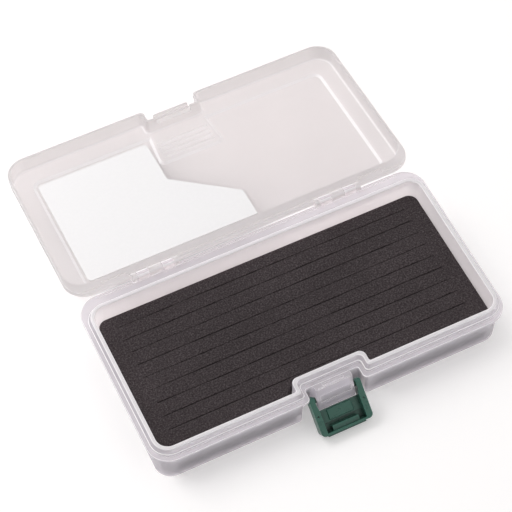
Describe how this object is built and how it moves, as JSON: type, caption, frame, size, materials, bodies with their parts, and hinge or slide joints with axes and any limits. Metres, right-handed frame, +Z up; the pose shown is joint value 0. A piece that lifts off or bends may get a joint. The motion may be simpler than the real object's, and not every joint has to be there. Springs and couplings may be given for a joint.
{
  "type": "fly box",
  "caption": "Shallow frosted plastic fly box with a hinged lid, a swing-over latch in a front notch and a slit foam insert, shown open.",
  "frame": {"origin": "centre of the base tray's flat underside, on the surface the box stands on", "axes": "+X along the case, +Y from the latch towards the hinges and the laid-back lid, +Z up"},
  "size_m": [0.188, 0.21, 0.0277],
  "materials": {
    "frosted_plastic": "frosted, translucent, satin",
    "latch_plastic": "moulded, satin",
    "foam": "fine-celled, matt",
    "adhesive_sheet": "tacky film",
    "label_card": "smooth card",
    "pin_plastic": "translucent, smooth"
  },
  "bodies": {
    "base": {"base_tray": "frosted_plastic", "foam_insert": "foam", "foam_adhesive": "adhesive_sheet", "left_hinge_pin": "pin_plastic", "right_hinge_pin": "pin_plastic"},
    "lid": {"lid": "frosted_plastic", "label_card": "label_card"},
    "latch": {"latch": "latch_plastic"}
  },
  "joints": [
    {"name": "lid_hinge", "type": "hinge", "parent": "base", "child": "lid", "pos_m": [0, 0.0524, 0.024], "axis": [1, 0, 0], "range_deg": [0, 186]},
    {"name": "latch_pivot", "type": "hinge", "parent": "base", "child": "latch", "pos_m": [0, -0.0432, 0.0142], "axis": [-1, 0, 0], "range_deg": [0, 129.17]}
  ]
}
